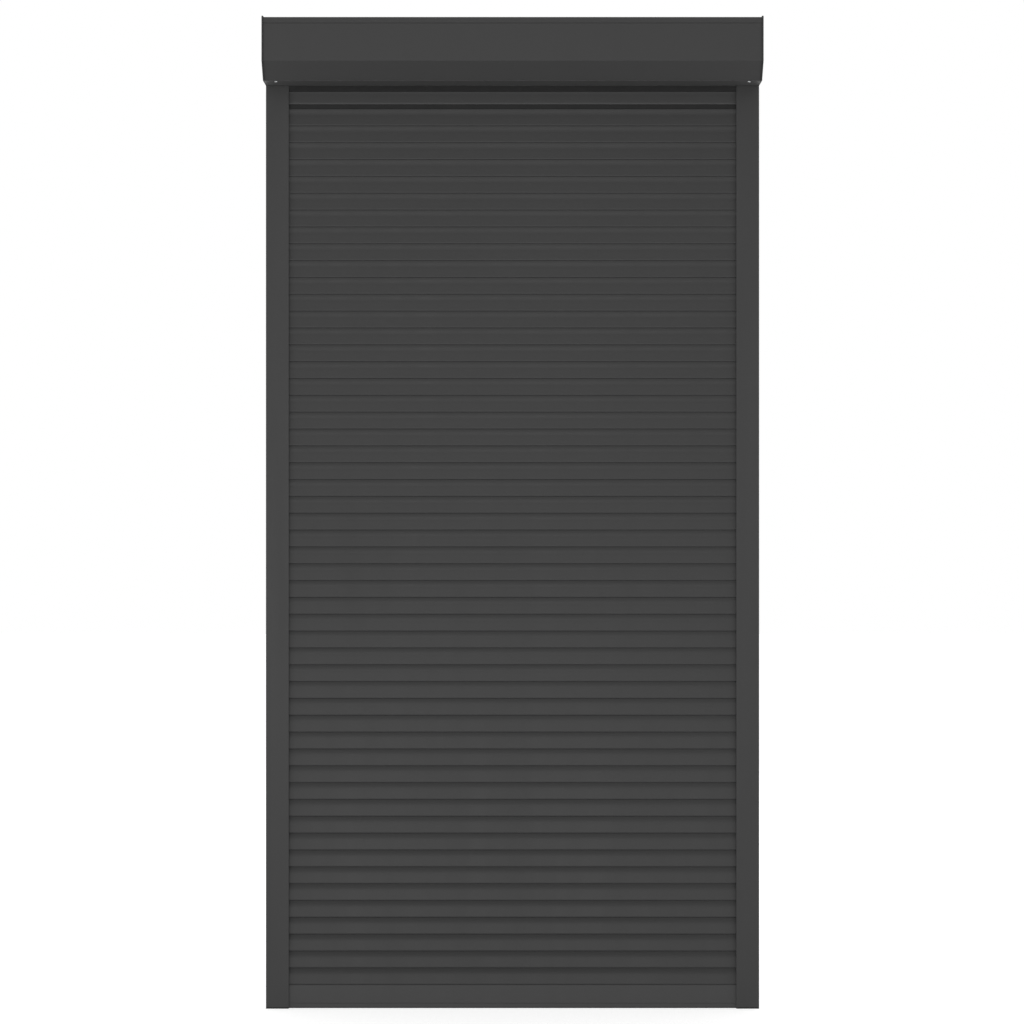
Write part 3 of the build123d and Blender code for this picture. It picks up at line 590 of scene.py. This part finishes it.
def dippedFront(front, low, high, steps):
    # a straight lower part that runs on into a hollow below the shoulder
    slope = math.atan2(slat["dip"], slat["dipZ"] - low)
    run = math.hypot(slat["dip"], high - slat["dipZ"])
    turn = slope + math.atan2(slat["dip"], high - slat["dipZ"])
    radius = run / (2 * math.sin(turn))
    centre = (front + slat["dip"] - radius * math.cos(slope), slat["dipZ"] + radius * math.sin(slope))
    result = []
    for step in range(steps):
        angle = -slope + 2 * turn * step / steps
        result.append((centre[0] + radius * math.cos(angle), centre[1] + radius * math.sin(angle)))
    return result


slat = {"pitch": 37.6, "closed": 52, "firstZ": 52.0, "topZ": 2017.5, "end": 519.0, "half": 4.0, "bow": 1.2,
        "dip": 1.8, "dipZ": 22.07, "top": 37.4, "noseIn": 1.2, "noseUp": 3.4, "shoulder": 0.6,
        "hook": 14.7, "hookHalf": 2.0, "hookSheet": 1.2, "hookTip": 3.2, "pocket": 2.3, "ceiling": 14.8,
        "lip": 1.0, "lipEnd": 0.4, "lipTip": -0.5, "lipTop": 2.6,
        "innerBend": 0.5, "outerBend": 1.2, "pocketBend": 0.8}


def slatSection():
    # nose and dipped front, rounded shoulder, hook, bowed back, pocket with its lip
    half, top = slat["half"], slat["top"]
    noseIn, noseUp = slat["noseIn"], slat["noseUp"]
    shoulder = slat["shoulder"]
    back = half - slat["bow"]
    hook = slat["hookHalf"]
    neck = hook - slat["hookSheet"]
    high = top + slat["hook"]
    front = [(-half + noseIn * (1 - math.sin(turn)), noseUp * (1 - math.cos(turn)))
             for turn in (step * math.pi / 10 for step in range(6))]
    front += dippedFront(-half, noseUp, top - shoulder, 9)
    cut = shoulder * 0.3
    front += [(-half, top - shoulder), (-half + cut, top - cut), (-half + shoulder, top)]
    over = rounded([(neck, top), (neck, high - slat["hookSheet"]), (-neck, high - slat["hookSheet"]),
                    (-neck, high - slat["hookTip"])], slat["innerBend"], 2)
    over += rounded([(-hook, high - slat["hookTip"]), (-hook, high), (hook, high), (hook, top)],
                    slat["outerBend"], 3)
    rear = [(back, top)] + arcPoints((back, top), (back, 0), slat["bow"], 8) + [(back, 0)]
    pocket = slat["pocket"]
    under = [(pocket, 0)] + rounded([(pocket, 0), (pocket, slat["ceiling"]), (-pocket, slat["ceiling"]),
                                     (-pocket, slat["lip"])], slat["pocketBend"], 2)[1:]
    tip, end = slat["lipTip"], slat["lipEnd"]
    under += [(tip, slat["lip"]), (tip, slat["lipTop"]), (end, slat["lipTop"]), (end, 0)]
    return [(curtainY + y, z) for y, z in front + over + rear + under]


def rollsUp(piece, slot, *nodes):
    finishPiece(piece, slot, "root", *nodes)
    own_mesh(piece)


def liftBy(piece, height):
    only(piece)
    bpy.ops.transform.translate(value=(0, 0, height * mm))
    bpy.ops.object.transform_apply(location=True, rotation=True, scale=True)


def repeatUp(piece, count, pitch):
    addModifier(piece, "ARRAY", count=count, use_relative_offset=False, use_constant_offset=True,
                constant_offset_displace=(0, 0, pitch * mm))


def joined(name, *pieces):
    clearSelection()
    for piece in pieces:
        piece.select_set(True)
    bpy.context.view_layer.objects.active = pieces[0]
    bpy.ops.object.join()
    pieces[0].name = name
    pieces[0].data.name = name
    return pieces[0]


def copyOf(piece, name):
    only(piece)
    bpy.ops.object.duplicate()
    made = bpy.context.object
    made.name = name
    return made


def buildSlats():
    first = alongBox("curtainSlats", slatSection(), -slat["end"], slat["end"])
    smoothOver(first, 40)
    top = copyOf(first, "topSlat")
    liftBy(top, slat["topZ"])
    liftBy(first, slat["firstZ"])
    repeatUp(first, slat["closed"], slat["pitch"])
    rollsUp(joined("curtainSlats", first, top), "grey_coated_slat", "slats")


def followCurtain(node, name, width):
    # pieces of the curtain whose CAD shape is right get soft edges, their own mesh, and ride on the root body
    piece = softened(node, name, width, "root")
    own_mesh(piece)


bar = {"top": 51.8, "low": 2.0, "half": 4.0, "corner": 1.1, "grooveZ": 11.0, "groove": 0.5, "end": 519.0,
       "slotHalf": 1.5, "wall": 1.5, "keyHalf": 2.5, "keyTop": 3.9}


def buildBottomBar():
    # hollow bar with rounded corners, a fine shadow groove near its foot and the slats' hook on top
    half, low, top = bar["half"], bar["low"], bar["top"]
    groove = bar["groove"]
    hook = slat["hookHalf"]
    neck = hook - slat["hookSheet"]
    high = top + slat["hook"]
    slot, key, sole, keyTop = bar["slotHalf"], bar["keyHalf"], low + bar["wall"], low + bar["keyTop"]
    section = rounded([(-slot, low), (-half, low), (-half, bar["grooveZ"] - groove)], bar["corner"], 3)
    section += [(-half + groove, bar["grooveZ"]), (-half, bar["grooveZ"] + groove)]
    section += rounded([(-half, bar["grooveZ"] + groove), (-half, top), (neck, top)], bar["corner"], 3)[1:]
    section += rounded([(neck, top), (neck, high - slat["hookSheet"]), (-neck, high - slat["hookSheet"]),
                        (-neck, high - slat["hookTip"])], slat["innerBend"], 2)[1:]
    section += rounded([(-hook, high - slat["hookTip"]), (-hook, high), (hook, high), (hook, top)],
                       slat["outerBend"], 3)
    section += rounded([(hook, top), (half, top), (half, low), (slot, low)], bar["corner"], 3)[1:]
    section += [(slot, sole), (key, sole), (key, keyTop), (-key, keyTop), (-key, sole), (-slot, sole)]
    piece = alongBox("bottomBar", [(curtainY + y, z) for y, z in section], -bar["end"], bar["end"])
    smoothOver(piece, 40)
    finishPiece(piece, "grey_coated_bar", "curtain", "bottom_bar")


box = {"end": 546.7, "sheet": 1.3, "bend": 1.2, "low": 2058.0, "high": 2192.5, "front": -66.0, "back": 68.5,
       "lip": 2179.5, "chamferTop": 2097.04, "chamferFoot": -26.96, "slotBack": 63.0, "slotFront": 46.5,
       "upstand": 11.0, "tuckGap": 0.2, "tuckRise": 9.0, "lipRise": 0.6, "lipDrop": 0.9, "return": 19.0,
       "seam": 0.4, "flapBendShare": 0.6}


def buildBox():
    end, sheet, bend = box["end"], box["sheet"], box["bend"]
    roof = foldedSheet("boxRoof", [
        (box["slotBack"], box["low"]), (box["back"], box["low"]), (box["back"], box["high"]),
        (box["front"], box["high"]), (box["front"], box["lip"]),
    ], sheet, bend, -end, end)
    finishPiece(roof, "grey_coated_sheet", "root", "rear_top_shell")
    tuck = box["front"] + sheet + box["tuckGap"]
    panel = foldedSheet("boxFront", [
        (tuck, box["lip"] + box["tuckRise"]), (tuck, box["lip"] + box["lipRise"]),
        (box["front"], box["lip"] - box["lipDrop"]),
        (box["front"], box["chamferTop"]), (box["chamferFoot"] - sheet, box["low"] + sheet),
        (box["chamferFoot"] + box["return"], box["low"] + sheet),
    ], sheet, bend, -end, end)
    finishPiece(panel, "grey_coated_sheet", "root", "front_panel")
    flap = foldedSheet("boxFlap", [
        (box["chamferFoot"] + box["seam"], box["low"]), (box["slotFront"], box["low"]),
        (box["slotFront"], box["low"] + box["upstand"]),
    ], sheet, bend * box["flapBendShare"], -end, end)
    finishPiece(flap, "grey_coated_sheet", "root", "underside_cover")
    # the underside cover takes the lighter copy of the sheet coat, which is painted light
    flap.data.materials[0] = flapPaintedLightCoat


screwHead = {"radius": 3.8, "height": 2.0, "shank": 1.9, "cross": 3.6, "crossWidth": 0.85,
             "crossDepth": 1.2, "dome": 0.7, "point": 1.5, "pointShare": 0.35, "turn": 20, "nextTurn": 31}


def buildScrew(name, length):
    # domed head up the z axis, crossed recess, pointed shank
    clearSelection()
    head = screwHead
    bpy.ops.mesh.primitive_cylinder_add(vertices=32, radius=head["radius"] * mm, depth=head["height"] * mm,
                                        location=(0, 0, head["height"] / 2 * mm))
    piece = bpy.context.object
    piece.name = name
    piece.data.name = name
    bpy.ops.object.transform_apply(location=True, rotation=True, scale=True)
    bpy.ops.object.mode_set(mode="EDIT")
    bpy.ops.mesh.select_mode(type="FACE")
    bpy.ops.mesh.select_all(action="DESELECT")
    bpy.ops.object.mode_set(mode="OBJECT")
    for face in piece.data.polygons:
        face.select = face.normal.z < -0.9
    bpy.ops.object.mode_set(mode="EDIT")
    bpy.ops.mesh.inset(thickness=(head["radius"] - head["shank"]) * mm)
    bpy.ops.mesh.extrude_region_move(TRANSFORM_OT_translate={"value": (0, 0, -(length - head["point"]) * mm)})
    bpy.ops.mesh.extrude_region_move(TRANSFORM_OT_translate={"value": (0, 0, -head["point"] * mm)})
    bpy.ops.transform.resize(value=(head["pointShare"], head["pointShare"], 1))
    bpy.ops.mesh.select_all(action="DESELECT")
    bpy.ops.object.mode_set(mode="OBJECT")
    bevelEdges(piece, head["dome"], 3, 50)
    for turn in (0, math.pi / 2):
        clearSelection()
        bpy.ops.mesh.primitive_cube_add(size=1, location=(0, 0, head["height"] * mm), rotation=(0, 0, turn))
        cutter = bpy.context.object
        cutter.scale = (head["cross"] * mm, head["crossWidth"] * mm, head["crossDepth"] * 2 * mm)
        bpy.ops.object.transform_apply(location=True, rotation=True, scale=True)
        addModifier(piece, "BOOLEAN", operation="DIFFERENCE", object=cutter, solver="EXACT")
        bpy.data.objects.remove(cutter)
    only(piece)
    bpy.ops.object.shade_smooth_by_angle(angle=math.radians(35))
    return piece


def screwsAt(name, node, length, places):
    # one screw turned and moved to each place, given as (x, y, z, turn about x, turn about y)
    made = []
    pattern = buildScrew(name + "Pattern", length)
    for index, (x, y, z, turnX, turnY) in enumerate(places):
        piece = copyOf(pattern, f"{name}{index + 1}")
        piece.rotation_euler = (turnX, turnY, math.radians(screwHead["turn"] + screwHead["nextTurn"] * index))
        piece.location = (x * mm, y * mm, z * mm)
        only(piece)
        bpy.ops.object.transform_apply(location=True, rotation=True, scale=True)
        made.append(piece)
    bpy.data.objects.remove(pattern)
    body = frame["nodes"][node]["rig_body"]
    finishPiece(joined(name, *made), slotOf[node], body, node)


grommet = {"y": 48.5, "z": 2175.0, "inside": 544.2, "outside": 550.0, "radius": 8.0, "flange": 10.5,
           "flangeEnd": 546.7, "bore": 3.5, "lipBend": 0.7}


def buildGrommet():
    # rubber ring spun round the cable hole, with soft lips
    ring = grommet
    section = rounded([(ring["bore"], ring["outside"] - 0.2), (ring["bore"], ring["inside"]),
                       (ring["flange"], ring["inside"]), (ring["flange"], ring["flangeEnd"]),
                       (ring["radius"], ring["flangeEnd"]), (ring["radius"], ring["outside"] - 0.1)],
                      ring["lipBend"], 3)
    corners = [(x, ring["y"] + r, ring["z"]) for r, x in section]
    clearSelection()
    start = [Vector(corner) * mm for corner in corners]
    bpy.ops.mesh.primitive_plane_add(size=mm, location=start[0])
    piece = bpy.context.object
    piece.name = "cableGrommet"
    bpy.ops.object.mode_set(mode="EDIT")
    bpy.ops.mesh.select_all(action="SELECT")
    bpy.ops.mesh.merge(type="CENTER")
    for before, corner in zip(start, start[1:] + start[:1]):
        bpy.ops.mesh.extrude_region_move(TRANSFORM_OT_translate={"value": corner - before})
    bpy.ops.mesh.select_all(action="SELECT")
    bpy.ops.mesh.remove_doubles(threshold=0.000001)
    bpy.ops.mesh.select_all(action="SELECT")
    bpy.ops.mesh.spin(steps=48, angle=math.tau, center=(0, ring["y"] * mm, ring["z"] * mm), axis=(1, 0, 0))
    bpy.ops.mesh.select_all(action="SELECT")
    bpy.ops.mesh.remove_doubles(threshold=0.000001)
    bpy.ops.mesh.normals_make_consistent(inside=False)
    bpy.ops.object.mode_set(mode="OBJECT")
    bpy.ops.object.transform_apply(location=True, rotation=True, scale=True)
    bpy.ops.object.shade_smooth_by_angle(angle=math.radians(35))
    finishPiece(piece, "black_rubber", "root", "cable_grommet")


placeCamera()
placeLamps()
whiteWorld()
paperFloor()
dressNodes()
print("stage set")

buildBox()
for side in ("left", "right"):
    tag = side.title()
    softened(f"end_cap_{side}", f"endCap{tag}", 0.7, "root")
    softened(f"guide_rail_{side}", f"guideRail{tag}", 0.35, "root")
    softened(f"rail_end_plug_{side}", f"railFoot{tag}", 0.3, "root")
    softened(f"inlet_funnel_{side}", f"inletFunnel{tag}", 0.5, "root")
    for place in ("front", "back"):
        softened(f"rail_seal_{side}_{place}", f"glidingSeal{tag}{place.title()}", 0.35, "root")
softened("outlet_seal", "outletSeal", 0.5, "root")
carrier = softened("outlet_seal_carrier", "outletSealCarrier", 0.25, "root")
# the seal carrier is painted far darker than bare aluminium: painted shade in the outlet slot
carrier.data.materials[0] = bareMetal("darkAluminiumPaintedShade", (0.09, 0.09, 0.09), 0.62)
buildGrommet()
print("box and rails built")

buildSlats()
buildBottomBar()
followCurtain("slat_foam_cores", "slatFoamCores", 0.3)
followCurtain("slat_end_locks", "slatEndLocks", 0.5)
followCurtain("hanger_clips", "hangerClips", 0.4)
followCurtain("suspension_straps", "suspensionStraps", 0.15)
softened("bottom_bar_seal", "bottomBarSeal", 0.4, "curtain")
softened("bottom_bar_end_plugs", "bottomBarEndPlugs", 0.5, "curtain")
print("curtain built")

half = math.pi / 2
screwsAt("coverScrews", "cover_screws", 12.0,
         [(-521.6, -20.66, 2058.0, math.pi, 0), (521.6, -20.66, 2058.0, math.pi, 0)])
screwsAt("roofScrews", "shell_screws", 8.0, [(-540.7, 0, 2192.5, 0, 0), (540.7, 0, 2192.5, 0, 0)])
screwsAt("bracketScrews", "bracket_screws", 6.0,
         [(543.7, -23.0, 2149.5, 0, -half), (543.7, 23.0, 2103.5, 0, -half)])
screwsAt("shaftScrew", "shaft_screw", 8.0, [(32.8, 0, 2146.5, 0, 0)])
drive = {
    "winding_shaft": ("windingShaft", 0.3, "shaft"),
    "idler_end_plug": ("idlerEndPlug", 0.6, "shaft"),
    "idler_pin": ("idlerPin", 0.6, "shaft"),
    "motor_crown_ring": ("motorCrownRing", 0.4, "shaft"),
    "motor_output_shaft": ("motorOutputShaft", 0.4, "shaft"),
    "motor_drive_wheel": ("motorDriveWheel", 0.6, "shaft"),
    "idler_bearing_bush": ("idlerBearingBush", 0.4, "root"),
    "motor_bracket": ("motorBracket", 0.5, "root"),
    "motor_head": ("motorHead", 0.8, "root"),
    "motor_tube": ("motorTube", 0.8, "root"),
}
for node, (name, width, body) in drive.items():
    softened(node, name, width, body)
print("drive and screws built")
